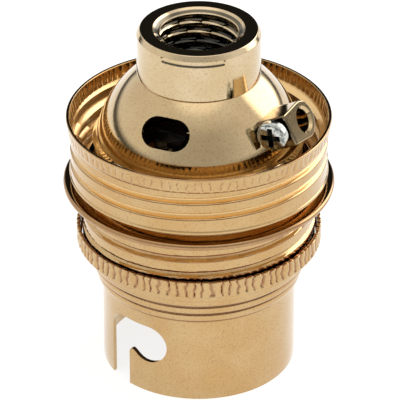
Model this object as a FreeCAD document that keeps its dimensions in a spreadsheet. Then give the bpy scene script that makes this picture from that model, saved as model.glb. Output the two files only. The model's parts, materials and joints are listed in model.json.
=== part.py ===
import FreeCAD, Part
import math
import os
import re
import Sketcher
from FreeCAD import Placement, Rotation, Vector

# Bayonet lampholder for a two-pin 22 mm lamp cap, standing on the mouth of its barrel.
# +Z runs from the mouth to the threaded cord entry, the front is -Y, and sizes are in millimetres.
# Every piece is drawn and turned brass, except the moulded insulator and its fibre washers.

SIZES = {
    # Body shell: barrel, three rolled steps, shade thread, folded flange.
    "shell_wall": 0.5,
    "barrel_radius": 11.75,
    "barrel_height": 11.4,
    "bore_lip_round": 0.3,
    "bore_lip_rise": 0.22,
    "first_step_out": 0.7,
    "step_out": 0.4,
    "step_height": 1.27,
    "step_round": 0.35,
    "thread_radius": 14.05,
    "thread_round": 0.3,
    "thread_pitch": 2.15,
    "thread_depth": 0.45,
    "groove_width": 0.95,
    "groove_overrun": 0.3,
    "thread_lead": 2.33,
    "thread_start": 90.0,
    "thread_turns": 2.4,
    "neck_lead": 0.75,
    "neck_turns": 0.25,
    "flange_radius": 16.29,
    "flange_rise": 8.49,
    "flange_thickness": 0.75,
    "flange_edge_rise": 0.2,
    "neck_height": 2.8,
    # Bayonet slots, drawn flat as the punch sees them.
    "slot_azimuth": -38.0,
    "slot_reach": 4.75,
    "slot_width": 3.2,
    "slot_top": 9.3,
    "slot_corner": 2.4,
    "pocket_radius": 2.5,
    "pocket_offset": 1.29,
    "nib_angle": 35.0,
    "nib_slope": 0.7,
    "nib_top_rise": 0.3,
    "nib_shoulder": 4.7,
    "punch_overrun": 1.0,
    # Shade rings.
    "ring_wall": 0.45,
    "ring_seat": 0.5,
    "ring_clearance": 0.08,
    "lower_ring_radius": 14.8,
    "lower_ring_gap": 1.09,
    "lower_ring_height": 2.15,
    "coarse_knurl_depth": 0.2,
    "coarse_knurl_cutter": 0.3,
    "upper_ring_radius": 15.4,
    "upper_ring_gap": 0.95,
    "upper_ring_height": 7.6,
    "ring_lip_out": 0.12,
    "ring_lip_height": 0.35,
    "ring_thread_lead": 1.93,
    "ring_thread_pitch": 2.07,
    "ring_thread_start": -90.0,
    "ring_thread_turns": 1.5,
    "ring_groove_width": 1.1,
    "ring_groove_depth": 0.6,
    "rim_radius": 15.87,
    "rim_band": 2.0,
    "rim_roll": 0.15,
    "fine_knurl_depth": 0.15,
    "fine_knurl_cutter": 0.28,
    # Cap and the nozzle riveted into it.
    "cap_wall": 0.5,
    "dome_radius": 12.4,
    "dome_rise": 9.59,
    "skirt_radius": 12.45,
    "skirt_thread_lead": 1.39,
    "skirt_ridge_rise": 0.45,
    "cap_bead_lift": 1.8,
    "cap_bead_half": 0.4,
    "cap_bead_rise": 0.48,
    "nozzle_radius": 7.34,
    "nozzle_reach": 16.0,
    "nozzle_edge_round": 0.46,
    "entry_radius": 4.6,
    "entry_mouth_radius": 5.49,
    "entry_mouth_depth": 0.7,
    "spigot_radius": 6.25,
    "spigot_clearance": 0.05,
    "spigot_flange_radius": 7.2,
    "spigot_lift": 8.8,
    "oval_azimuth": -23.0,
    "oval_elevation": 35.0,
    "oval_length": 6.0,
    "oval_width": 3.8,
    # Earth terminal on the dome.
    "earth_azimuth": 64.0,
    "earth_elevation": 27.5,
    "earth_face": 15.45,
    "earth_end_radius": 2.3,
    "earth_reach": 3.7,
    "earth_low_side": 1.6,
    "earth_root": 10.7,
    "earth_wire_radius": 1.35,
    "earth_wire_chamfer": 0.3,
    "earth_wire_depth": 2.7,
    "earth_rivet_offset": 1.8,
    "earth_rivet_radius": 1.2,
    "earth_rivet_head": 1.7,
    "earth_rivet_head_height": 0.45,
    "earth_screw_side": 0.7,
    "earth_screw_distance": 13.8,
    "earth_screw_gap": 0.7,
    "earth_screw_radius": 1.15,
    "earth_screw_length": 3.4,
    "earth_screw_head": 1.85,
    "earth_screw_head_height": 1.2,
    # Moulded insulator, washers and plate.
    "contact_azimuth": 60.0,
    "contact_offset": 4.0,
    "washer_height": 0.5,
    "washer_bore": 11.4,
    "insulator_radius": 12.95,
    "insulator_flange": 2.1,
    "drum_radius": 11.2,
    "boss_radius": 10.6,
    "boss_height": 4.2,
    "barrier_width": 1.6,
    "barrier_length": 20.0,
    "barrier_height": 5.0,
    "drum_drop": 1.3,
    "plate_height": 1.6,
    "plate_screw_radius": 1.0,
    "plate_screw_length": 4.6,
    "plate_screw_head": 2.0,
    "plate_screw_sink": 1.0,
    "screw_clearance": 0.05,
    # Plungers and the barrels that hold them.
    "barrel_tube_radius": 2.6,
    "barrel_tube_bore": 2.15,
    "barrel_tube_depth": 6.1,
    "tube_clearance": 0.05,
    "plunger_radius": 1.6,
    "plunger_reach": 3.7,
    "plunger_tip_height": 0.55,
    "collar_radius": 2.1,
    "collar_height": 1.1,
    "spring_nub_radius": 1.1,
    "spring_nub_height": 1.0,
    "spring_radius": 1.6,
    "spring_wire": 0.22,
    "spring_turns": 5.0,
    # Clamping heads and screws for the live and neutral wires.
    "head_side": 5.2,
    "head_height": 4.6,
    "wire_hole_radius": 1.2,
    "wire_hole_height": 2.1,
    "terminal_screw_radius": 1.2,
    "terminal_screw_length": 2.4,
    "terminal_screw_gap": 0.9,
    "terminal_screw_head": 2.0,
    "terminal_screw_head_height": 1.2,
    "recess_width": 0.5,
    "recess_depth": 0.6,
    "head_crown": 0.25,
}
STEP_COUNT = 3
SLOT_COUNT = 2
RIDGE_COUNT = 3
COARSE_RIB_COUNT = 88
FINE_RIB_COUNT = 100

doc = FreeCAD.newDocument("bayonet_lampholder")
sheet = doc.addObject("Spreadsheet::Sheet", "dim")
for row, (alias, size) in enumerate(SIZES.items(), start=1):
    sheet.set("A%d" % row, alias)
    sheet.set("B%d" % row, str(size))
    sheet.setAlias("B%d" % row, alias)
doc.recompute()


def bound(text):
    """A formula in the sheet's aliases, written the way FreeCAD reads it."""
    return re.sub(r"\b([a-z]+(?:_[a-z]+)+)\b", r"dim.\1", text)


def number(text):
    """The present value of a formula in the sheet's aliases."""
    return float(sheet.evalExpression(bound(text)))


def bind(thing, path, text):
    """Tie one property of an object to a formula."""
    thing.setExpression(path, bound(text))


# Heights that several pieces share, each worked out from the one below it.
SHOULDER = "(barrel_height + %d * step_height)" % STEP_COUNT
LEDGE = "(%s + shell_wall)" % SHOULDER
FLANGE_BASE = "(%s + flange_rise)" % SHOULDER
BODY_TOP = "(%s + neck_height)" % FLANGE_BASE
LOWER_RING_BASE = "(%s + lower_ring_gap)" % SHOULDER
UPPER_RING_BASE = "(%s + flange_thickness + upper_ring_gap)" % FLANGE_BASE
FLANGE_SEAT = "(%s + washer_height)" % LEDGE
FLANGE_TOP = "(%s + insulator_flange)" % FLANGE_SEAT
SKIRT_BASE = "(%s + washer_height)" % FLANGE_TOP
BOSS_TOP = "(%s + boss_height)" % FLANGE_TOP
PLATE_TOP = "(%s - drum_drop)" % FLANGE_SEAT
PLATE_BASE = "(%s - plate_height)" % PLATE_TOP
TUBE_END = "(%s + barrel_tube_depth)" % PLATE_TOP
COLLAR_TOP = "(%s + collar_height)" % PLATE_TOP
DOME_CENTRE = "(%s + dome_rise)" % SKIRT_BASE
BEAD_MIDDLE = "(%s + cap_bead_lift)" % DOME_CENTRE
NOZZLE_TOP = "(%s + nozzle_reach)" % DOME_CENTRE
SPIGOT_BASE = "(%s + spigot_lift)" % DOME_CENTRE


class Outline:
    """A closed sketch whose corners, and the bows between them, are tied to the sheet."""

    def __init__(self, body, name, role="XZ_Plane", offset=None):
        self.sketch = body.newObject("Sketcher::SketchObject", name)
        plane = [item for item in body.Origin.OriginFeatures if item.Role == role][0]
        self.sketch.AttachmentSupport = [(plane, "")]
        self.sketch.MapMode = "FlatFace"
        if offset is not None:
            self.sketch.AttachmentOffset = offset
        self.corners = []
        self.bows = []

    def line(self, across, up):
        """A corner reached in a straight line."""
        self.corners.append((across, up))
        self.bows.append(None)

    def arc(self, across, up, rise):
        """A corner reached by an arc that rises to the left of its chord, or sinks to the right."""
        self.corners.append((across, up))
        self.bows.append(rise)

    def sweep(self, across, up, radius, side):
        """A corner reached by a short arc of known radius, on the left (1) or right (-1)."""
        last_across, last_up = self.corners[-1]
        chord = "((%s - (%s))^2 + (%s - (%s))^2)" % (across, last_across, up, last_up)
        self.arc(across, up, "%d * (%s - sqrt((%s)^2 - %s / 4))" % (side, radius, radius, chord))

    def half_round(self, across, up, radius, side):
        """A corner reached by half a circle, drawn as two quarters."""
        last_across, last_up = self.corners[-1]
        middle_across = "(%s + (%s)) / 2 - %d * (%s - (%s)) / 2" % (last_across, across, side, up, last_up)
        middle_up = "(%s + (%s)) / 2 + %d * (%s - (%s)) / 2" % (last_up, up, side, across, last_across)
        self.sweep(middle_across, middle_up, radius, side)
        self.sweep(across, up, radius, side)

    def close(self):
        """Draw every edge, join the ends and tie each corner to its formulas."""
        if self.corners[-1] == self.corners[0]:
            self.corners.pop()
            self.bows[0] = self.bows.pop()
        count = len(self.corners)
        places = [Vector(number(x), number(y), 0) for x, y in self.corners]
        limits = []
        formulas = []
        for index in range(count):
            start = places[index - 1]
            end = places[index]
            bow = self.bows[index]
            edge = self._draw(start, end, bow)
            left_turning = bow is not None and number(bow) < 0
            far = 2 if bow is None or left_turning else 1
            limits.append((edge, 3 - far, far))
            if bow is not None:
                formulas.append((edge, index))
        for index, (edge, near, far) in enumerate(limits):
            next_edge, next_near, _ = limits[(index + 1) % count]
            self.sketch.addConstraint(Sketcher.Constraint("Coincident", edge, far, next_edge, next_near))
            for kind, text, place in zip(("DistanceX", "DistanceY"), self.corners[index], places[index]):
                tie = self.sketch.addConstraint(Sketcher.Constraint(kind, edge, far, place))
                bind(self.sketch, "Constraints[%d]" % tie, text)
        for edge, index in formulas:
            self._tie_radius(edge, index, places)
        return self.sketch

    def _draw(self, start, end, bow):
        if bow is None:
            return self.sketch.addGeometry(Part.LineSegment(start, end), False)
        rise = number(bow)
        chord = end - start
        left = Vector(-chord.y, chord.x, 0).normalize()
        radius = (chord.Length ** 2 / 4 + rise ** 2) / (2 * abs(rise))
        centre = (start + end) * 0.5 + left * (rise - math.copysign(radius, rise))
        first, last = (end, start) if rise > 0 else (start, end)
        angles = [math.atan2(point.y - centre.y, point.x - centre.x) for point in (first, last)]
        circle = Part.Circle(centre, Vector(0, 0, 1), radius)
        return self.sketch.addGeometry(Part.ArcOfCircle(circle, angles[0], angles[1]), False)

    def _tie_radius(self, edge, index, places):
        x_one, y_one = self.corners[index - 1]
        x_two, y_two = self.corners[index]
        rise = self.bows[index]
        chord = "((%s - (%s))^2 + (%s - (%s))^2)" % (x_two, x_one, y_two, y_one)
        text = "abs(%s / 8 / (%s) + (%s) / 2)" % (chord, rise, rise)
        tie = self.sketch.addConstraint(Sketcher.Constraint("Radius", edge, number(text)))
        bind(self.sketch, "Constraints[%d]" % tie, text)


def crown(radius, height):
    """Radius of the ball whose cap has this radius and height."""
    return "((%s)^2 + (%s)^2) / (2 * %s)" % (radius, height, height)


def new_body(label):
    """An empty body whose label names its file."""
    body = doc.addObject("PartDesign::Body", label)
    body.Label = label
    return body


def axis_of(body, role):
    """One of a body's own axes, as a pattern wants it."""
    return ([item for item in body.Origin.OriginFeatures if item.Role == role][0], [""])


def revolve(body, sketch, kind="PartDesign::Revolution"):
    """Turn a sketch about the body's Z axis, as added or as cut material."""
    turned = body.newObject(kind, sketch.Name + "_turned")
    turned.Profile = sketch
    turned.ReferenceAxis = (sketch, ["V_Axis"])
    turned.Angle = 360
    doc.recompute()
    return turned


def extrude(body, sketch, kind, length, reverse=False, both=False):
    """Pad or pocket a sketch by a formula's length."""
    grown = body.newObject(kind, sketch.Name + "_run")
    grown.Profile = sketch
    grown.Reversed = reverse
    grown.Midplane = both
    before = body.Shape.Volume if body.Shape.Solids else 0.0
    bind(grown, "Length", length)
    doc.recompute()
    change = grown.Shape.Volume - before
    if change * (1 if kind.endswith("Pad") else -1) <= 0:
        raise RuntimeError("%s leaves %s unchanged" % (grown.Name, body.Label))
    return grown


def repeat(body, feature, count):
    """Repeat a feature evenly about the body's Z axis."""
    ring = body.newObject("PartDesign::PolarPattern", feature.Name + "_repeated")
    ring.Originals = [feature]
    ring.Axis = axis_of(body, "Z_Axis")
    ring.Angle = 360
    ring.Occurrences = count
    body.Tip = ring
    doc.recompute()
    return ring


def circle(body, name, across, up, radius, role="XY_Plane", offset=None):
    """A circle sketch whose centre and radius follow formulas."""
    outline = Outline(body, name, role, offset)
    sketch = outline.sketch
    centre = Vector(number(across), number(up), 0)
    edge = sketch.addGeometry(Part.Circle(centre, Vector(0, 0, 1), number(radius)), False)
    for kind, text in (("DistanceX", across), ("DistanceY", up)):
        tie = sketch.addConstraint(Sketcher.Constraint(kind, edge, 3, number(text)))
        bind(sketch, "Constraints[%d]" % tie, text)
    tie = sketch.addConstraint(Sketcher.Constraint("Radius", edge, number(radius)))
    bind(sketch, "Constraints[%d]" % tie, radius)
    return sketch


def raised(height):
    """A sketch plane lifted to a height, in the plane's own frame."""
    return Placement(Vector(0, 0, number(height)), Rotation())


def rectangle(body, name, width, depth, role="XY_Plane", offset=None):
    """A rectangle centred on the sketch's origin."""
    outline = Outline(body, name, role, offset)
    outline.line("-(%s) / 2" % width, "-(%s) / 2" % depth)
    outline.line("(%s) / 2" % width, "-(%s) / 2" % depth)
    outline.line("(%s) / 2" % width, "(%s) / 2" % depth)
    outline.line("-(%s) / 2" % width, "(%s) / 2" % depth)
    return outline.close()


def washer(label, bore, radius, base):
    """A flat fibre washer."""
    body = new_body(label)
    outline = Outline(body, label + "_section")
    outline.line(bore, base)
    outline.line(radius, base)
    outline.line(radius, base + " + washer_height")
    outline.line(bore, base + " + washer_height")
    revolve(body, outline.close())
    return body


# -------------------------------------------------------------- rolled threads

def swept_bead(body, name, radius, reach, middle, width, depth, azimuth):
    """The section of a bead that stands inward from a radius, with a square back that reaches outward."""
    face = Placement(Vector(0, 0, 0), Rotation(Vector(0, 1, 0), number(azimuth) - 90))
    outline = Outline(body, name, "XZ_Plane", face)
    back = "%s + %s" % (radius, reach)
    low = "%s - (%s) / 2" % (middle, width)
    high = "%s + (%s) / 2" % (middle, width)
    outline.line(back, low)
    outline.line(back, high)
    outline.line(radius, high)
    outline.arc(radius, low, "-" + depth)
    return outline.close()


def climb(body, sketch, kind, pitch, turns):
    """Carry a section round and up the body's Z axis, right-handed."""
    coil = body.newObject(kind, sketch.Name + "_coil")
    coil.Profile = sketch
    coil.ReferenceAxis = (sketch, ["V_Axis"])
    coil.Mode = "pitch-turns-angle"
    bind(coil, "Pitch", pitch)
    bind(coil, "Turns", turns)
    doc.recompute()
    return coil


def rolled_thread(body, name, outer, wall, middle, azimuth, pitch, turns, width, depth):
    """Roll a thread into sheet: a ridge is raised inside the wall, then its groove is sunk outside."""
    inner = "(%s - %s)" % (outer, wall)
    before = body.Shape.Volume
    ridge = swept_bead(body, name + "_ridge", inner, wall + " / 2", middle, width + " + " + wall, depth, azimuth)
    climb(body, ridge, "PartDesign::AdditiveHelix", pitch, turns)
    raised_volume = body.Shape.Volume
    groove = swept_bead(body, name + "_groove", outer, "groove_overrun", middle, width, depth, azimuth)
    climb(body, groove, "PartDesign::SubtractiveHelix", pitch, turns)
    if not body.Shape.Volume < raised_volume or not before < raised_volume:
        raise RuntimeError("%s leaves %s unchanged" % (name, body.Label))


# ---------------------------------------------------------------- body shell

def step_radius(index):
    """Outer radius of the barrel (0) or of one of the rolled steps above it."""
    if index == 0:
        return "barrel_radius"
    return "(barrel_radius + first_step_out + %d * step_out)" % (index - 1)


def body_shell():
    """Barrel with two bayonet slots, rolled steps, rolled shade thread and folded flange."""
    body = new_body("body_shell")
    outline = Outline(body, "shell_section")
    crest = "thread_radius"
    flange_top = FLANGE_BASE + " + flange_thickness"
    flange_edge = "flange_radius - flange_edge_rise"
    outline.line("barrel_radius - shell_wall", "0")
    outline.line("barrel_radius", "0")
    outline.line("barrel_radius", "barrel_height")
    for index in range(1, STEP_COUNT + 1):
        floor = "barrel_height + %d * step_height" % (index - 1)
        outline.line("%s - step_round" % step_radius(index), floor)
        outline.sweep(step_radius(index), floor + " + step_round", "step_round", -1)
        outline.line(step_radius(index), floor + " + step_height")
    outline.line(crest + " - thread_round", SHOULDER)
    outline.sweep(crest, SHOULDER + " + thread_round", "thread_round", -1)
    outline.line(crest, FLANGE_BASE)
    outline.line(flange_edge, FLANGE_BASE)
    outline.arc(flange_edge, flange_top, "-flange_edge_rise")
    outline.line(crest, flange_top)
    outline.line(crest, BODY_TOP)
    inner = crest + " - shell_wall"
    outline.line(inner, BODY_TOP)
    outline.line(inner, LEDGE)
    for index in range(STEP_COUNT, 1, -1):
        ledge = "barrel_height + %d * step_height + shell_wall" % index
        outline.line(step_radius(index) + " - shell_wall", ledge)
        outline.line(step_radius(index) + " - shell_wall", ledge + " - step_height")
    ledge = "barrel_height + step_height + shell_wall"
    outline.line(step_radius(1) + " - shell_wall", ledge)
    outline.line(step_radius(1) + " - shell_wall", "barrel_height + shell_wall")
    outline.arc("barrel_radius - shell_wall", "barrel_height - bore_lip_round", "-bore_lip_rise")
    revolve(body, outline.close())
    rolled_thread(body, "shade_thread", crest, "shell_wall", SHOULDER + " + thread_lead", "thread_start",
                  "thread_pitch", "thread_turns", "groove_width", "thread_depth")
    rolled_thread(body, "neck_thread", crest, "shell_wall", flange_top + " + neck_lead", "thread_start",
                  "thread_pitch", "neck_turns", "groove_width", "thread_depth")
    slot = bayonet_slot(body)
    punched = extrude(body, slot, "PartDesign::Pocket", "barrel_radius + punch_overrun", reverse=True)
    repeat(body, punched, SLOT_COUNT)
    return body


def bayonet_slot(body):
    """The slot as the punch sees it: up from the mouth, along, and back down into its pocket."""
    turn = Placement(Vector(0, 0, 0), Rotation(Vector(0, 1, 0), number("slot_azimuth")))
    outline = Outline(body, "slot_outline", "XZ_Plane", turn)
    near = "-slot_reach + slot_width"
    middle = "(slot_top - pocket_radius)"
    leave_x = "(pocket_offset - pocket_radius * sin(nib_angle * 1 deg))"
    leave_y = "(%s - pocket_radius * cos(nib_angle * 1 deg))" % middle
    outline.line("-slot_reach", "-punch_overrun")
    outline.line("-slot_reach", "slot_top - slot_corner")
    outline.sweep("-slot_reach + slot_corner", "slot_top", "slot_corner", 1)
    outline.line("pocket_offset", "slot_top")
    outline.half_round("pocket_offset", "slot_top - 2 * pocket_radius", "pocket_radius", 1)
    outline.sweep(leave_x, leave_y, "pocket_radius", 1)
    outline.line(leave_x + " - nib_slope * cos(nib_angle * 1 deg)",
                 leave_y + " + nib_slope * sin(nib_angle * 1 deg)")
    outline.arc(near, "nib_shoulder", "-nib_top_rise")
    outline.line(near, "-punch_overrun")
    return outline.close()


# --------------------------------------------------------------- shade rings

def knurl(body, label, radius, depth, cutter, base, height, count):
    """Upright flutes pressed evenly round a ring."""
    flute = circle(body, label, "%s + %s - %s" % (radius, cutter, depth), "0", cutter, offset=raised(base))
    cut = extrude(body, flute, "PartDesign::Pocket", height, reverse=True)
    repeat(body, cut, count)


def lower_shade_ring():
    """Coarse-knurled ring that screws up the thread to clamp a shade against the flange."""
    body = new_body("lower_shade_ring")
    bore = "thread_radius + ring_clearance"
    inner = "lower_ring_radius - ring_wall"
    top = LOWER_RING_BASE + " + lower_ring_height"
    outline = Outline(body, "lower_ring_section")
    outline.line(bore, LOWER_RING_BASE)
    outline.line("lower_ring_radius", LOWER_RING_BASE)
    outline.line("lower_ring_radius", top)
    outline.line(inner, top)
    outline.line(inner, LOWER_RING_BASE + " + ring_seat")
    outline.line(bore, LOWER_RING_BASE + " + ring_seat")
    revolve(body, outline.close())
    knurl(body, "coarse_flute", "lower_ring_radius", "coarse_knurl_depth", "coarse_knurl_cutter",
          LOWER_RING_BASE + " - punch_overrun", "lower_ring_height + 2 * punch_overrun", COARSE_RIB_COUNT)
    return body


def upper_shade_ring():
    """Deep rolled ring with a fine-knurled rim, screwed down on the thread above the flange."""
    body = new_body("upper_shade_ring")
    bore = "thread_radius + ring_clearance"
    top = UPPER_RING_BASE + " + upper_ring_height"
    band = top + " - rim_band"
    lip = "upper_ring_radius + ring_lip_out"
    inner = "upper_ring_radius - ring_wall"
    outline = Outline(body, "upper_ring_section")
    outline.line(bore, UPPER_RING_BASE)
    outline.line(lip, UPPER_RING_BASE)
    outline.line(lip, UPPER_RING_BASE + " + ring_lip_height")
    outline.line("upper_ring_radius", UPPER_RING_BASE + " + ring_lip_height + ring_lip_out")
    outline.line("upper_ring_radius", band)
    outline.line("rim_radius - rim_roll", top + " - rim_roll")
    outline.sweep("rim_radius - 2 * rim_roll", top, "rim_roll", -1)
    outline.line("rim_radius - ring_wall - rim_roll", top)
    outline.line(inner, band)
    outline.line(inner, UPPER_RING_BASE + " + ring_seat")
    outline.line(bore, UPPER_RING_BASE + " + ring_seat")
    revolve(body, outline.close())
    rolled_thread(body, "ring_thread", "upper_ring_radius", "ring_wall",
                  UPPER_RING_BASE + " + ring_thread_lead", "ring_thread_start", "ring_thread_pitch",
                  "ring_thread_turns", "ring_groove_width", "ring_groove_depth")
    knurl(body, "fine_flute", "rim_radius - rim_roll", "fine_knurl_depth", "fine_knurl_cutter",
          band, "rim_band + punch_overrun", FINE_RIB_COUNT)
    return body


# ---------------------------------------------------------- cap and terminal

def on_sphere(radius, across):
    """Height of a sphere about the dome's centre at a distance from the axis."""
    return "(%s + sqrt((%s)^2 - (%s)^2))" % (DOME_CENTRE, radius, across)


def across_sphere(radius, up):
    """Distance from the axis of a sphere about the dome's centre, at a height."""
    return "sqrt((%s)^2 - (%s - %s)^2)" % (radius, up, DOME_CENTRE)


def facing(azimuth, elevation):
    """Turn a piece whose Z axis points outward to face an azimuth and elevation on the dome."""
    return Rotation(number(azimuth), 0, 90 - number(elevation))


def cap_shell():
    """Domed cap with a rolled skirt that screws into the body shell."""
    body = new_body("cap_shell")
    inner_dome = "(dome_radius - cap_wall)"
    hole = "(spigot_radius + spigot_clearance)"
    bead_low = "(%s - cap_bead_half)" % BEAD_MIDDLE
    bead_top = "(%s + cap_bead_half)" % BEAD_MIDDLE
    inner = "skirt_radius - cap_wall"
    ridges = ["(%s + skirt_thread_lead + %d * thread_pitch)" % (SKIRT_BASE, index)
              for index in range(RIDGE_COUNT)]
    outline = Outline(body, "cap_section")
    outline.line(inner, SKIRT_BASE)
    outline.line("skirt_radius", SKIRT_BASE)
    for middle in ridges:
        outline.line("skirt_radius", middle + " - groove_width / 2")
        outline.arc("skirt_radius", middle + " + groove_width / 2", "-skirt_ridge_rise")
    outline.line("skirt_radius", bead_low)
    outline.arc(across_sphere("dome_radius", bead_top), bead_top, "-cap_bead_rise")
    outline.sweep(hole, on_sphere("dome_radius", hole), "dome_radius", -1)
    outline.line(hole, on_sphere(inner_dome, hole))
    outline.sweep(across_sphere(inner_dome, bead_top), bead_top, inner_dome, 1)
    outline.arc(inner, bead_low, "cap_bead_rise")
    for middle in reversed(ridges):
        outline.line(inner, middle + " + groove_width / 2")
        outline.arc(inner, middle + " - groove_width / 2", "skirt_ridge_rise")
    revolve(body, outline.close())
    oval = oval_hole(body)
    extrude(body, oval, "PartDesign::Pocket", "dome_radius + punch_overrun", reverse=True)
    root = dome_frame("earth_azimuth", "earth_elevation")
    rivet = circle(body, "rivet_hole", "-earth_rivet_offset", "0",
                   "earth_rivet_radius + spigot_clearance", "XZ_Plane", root)
    extrude(body, rivet, "PartDesign::Pocket", "dome_radius + punch_overrun", reverse=True)
    return body


def dome_frame(azimuth, elevation):
    """A sketch plane through the dome's centre, squarely facing a direction."""
    turn = Rotation(Vector(0, 1, 0), number(azimuth)) * Rotation(Vector(1, 0, 0), -number(elevation))
    return Placement(Vector(0, number(DOME_CENTRE), 0), turn)


def oval_hole(body):
    """The wire outlet, punched square to the dome."""
    outline = Outline(body, "oval_outline", "XZ_Plane", dome_frame("oval_azimuth", "oval_elevation"))
    half = "(oval_length - oval_width) / 2"
    outline.line("-" + half, "-oval_width / 2")
    outline.line(half, "-oval_width / 2")
    outline.half_round(half, "oval_width / 2", "oval_width / 2", -1)
    outline.line("-" + half, "oval_width / 2")
    outline.half_round("-" + half, "-oval_width / 2", "oval_width / 2", -1)
    return outline.close()


def cap_nozzle():
    """Turned nozzle with the cord entry bore, riveted through the top of the dome."""
    body = new_body("cap_nozzle")
    inner_dome = "(dome_radius - cap_wall)"
    outline = Outline(body, "nozzle_section")
    outline.line("entry_radius", SPIGOT_BASE)
    outline.line("spigot_flange_radius", SPIGOT_BASE)
    outline.line("spigot_flange_radius", on_sphere(inner_dome, "spigot_flange_radius"))
    outline.sweep("spigot_radius", on_sphere(inner_dome, "spigot_radius"), inner_dome, -1)
    outline.line("spigot_radius", on_sphere("dome_radius", "spigot_radius"))
    outline.sweep("nozzle_radius", on_sphere("dome_radius", "nozzle_radius"), "dome_radius", 1)
    outline.line("nozzle_radius", NOZZLE_TOP + " - nozzle_edge_round")
    outline.sweep("nozzle_radius - nozzle_edge_round", NOZZLE_TOP, "nozzle_edge_round", -1)
    outline.line("entry_mouth_radius", NOZZLE_TOP)
    outline.line("entry_radius", NOZZLE_TOP + " - entry_mouth_depth")
    revolve(body, outline.close())
    return body


def earth_terminal_block():
    """Pillar terminal with a wire hole, seated on the dome and riveted through it."""
    body = new_body("earth_terminal_block")
    outline = Outline(body, "block_outline", "XY_Plane", raised("earth_root"))
    outline.line("-earth_reach", "-earth_low_side")
    outline.line("0", "-earth_end_radius")
    outline.half_round("0", "earth_end_radius", "earth_end_radius", -1)
    outline.line("-earth_reach", "earth_end_radius")
    extrude(body, outline.close(), "PartDesign::Pad", "earth_face - earth_root")
    foot = body.newObject("PartDesign::SubtractiveSphere", "dome_foot")
    bind(foot, "Radius", "dome_radius")
    doc.recompute()
    shank = circle(body, "rivet_shank", "-earth_rivet_offset", "0", "earth_rivet_radius",
                   offset=raised("earth_root"))
    extrude(body, shank, "PartDesign::Pad", "dome_radius - earth_root + earth_rivet_head_height")
    head = circle(body, "rivet_head", "-earth_rivet_offset", "0", "earth_rivet_head",
                  offset=raised("earth_root"))
    extrude(body, head, "PartDesign::Pad", "earth_rivet_head_height")
    wire = Outline(body, "wire_hole_section")
    mouth = "earth_wire_radius + earth_wire_chamfer"
    wire.line("0", "earth_face - earth_wire_depth")
    wire.line("earth_wire_radius", "earth_face - earth_wire_depth")
    wire.line("earth_wire_radius", "earth_face - earth_wire_chamfer")
    wire.line(mouth, "earth_face")
    wire.line(mouth, "earth_face + punch_overrun")
    wire.line("0", "earth_face + punch_overrun")
    revolve(body, wire.close(), "PartDesign::Groove")
    tap = circle(body, "screw_hole", "earth_screw_side", "earth_screw_distance",
                 "earth_screw_radius + screw_clearance", "YZ_Plane")
    extrude(body, tap, "PartDesign::Pocket", "earth_reach + punch_overrun")
    body.Placement = Placement(Vector(0, 0, number(DOME_CENTRE)),
                               facing("earth_azimuth", "earth_elevation"))
    return body


def pan_screw(label, radius, length, head, head_height, slots):
    """A clamping screw standing on its tip, with one slot or a cross cut in its head."""
    body = new_body(label)
    top = "(%s + %s)" % (length, head_height)
    outline = Outline(body, label + "_section")
    outline.line("0", "0")
    outline.line(radius + " - screw_clearance", "0")
    outline.line(radius, "screw_clearance")
    outline.line(radius, length)
    outline.line(head, length)
    outline.line(head, top + " - head_crown")
    outline.sweep("0", top, crown(head, "head_crown"), -1)
    revolve(body, outline.close())
    for index in range(slots):
        across = ("2 * %s + punch_overrun" % head, "recess_width")
        width, depth = across if index == 0 else across[::-1]
        if slots == 2:
            width, depth = [text.replace("2 * %s + punch_overrun" % head, "1.25 * " + head)
                            for text in (width, depth)]
        recess = rectangle(body, "%s_recess_%d" % (label, index), width, depth, offset=raised(top))
        extrude(body, recess, "PartDesign::Pocket", "recess_depth")
    return body


def earth_clamp_screw():
    """Cross-recess screw that clamps the earth wire, entering the block's front end."""
    body = pan_screw("earth_clamp_screw", "earth_screw_radius", "earth_screw_length",
                     "earth_screw_head", "earth_screw_head_height", 2)
    turn = facing("earth_azimuth", "earth_elevation")
    tip = number("-earth_reach - earth_screw_gap + earth_screw_length")
    local = Vector(tip, number("earth_screw_side"), number("earth_screw_distance"))
    body.Placement = Placement(Vector(0, 0, number(DOME_CENTRE)) + turn.multVec(local),
                               turn * Rotation(Vector(0, 1, 0), -90))
    return body


# ------------------------------------------------------- insulator and inside

CONTACTS = {"right": 0, "left": 180}


def at_contact(side, height):
    """Place a piece on one contact's axis, its own X axis pointing outward."""
    yaw = number("contact_azimuth") - 90 + CONTACTS[side]
    turn = Rotation(Vector(0, 0, 1), yaw)
    return Placement(turn.multVec(Vector(number("contact_offset"), 0, 0)) + Vector(0, 0, number(height)), turn)


def turned_to_contacts():
    """Turn a piece so that its X axis lies along the line of the contacts."""
    return Placement(Vector(0, 0, 0), Rotation(Vector(0, 0, 1), number("contact_azimuth") - 90))


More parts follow.
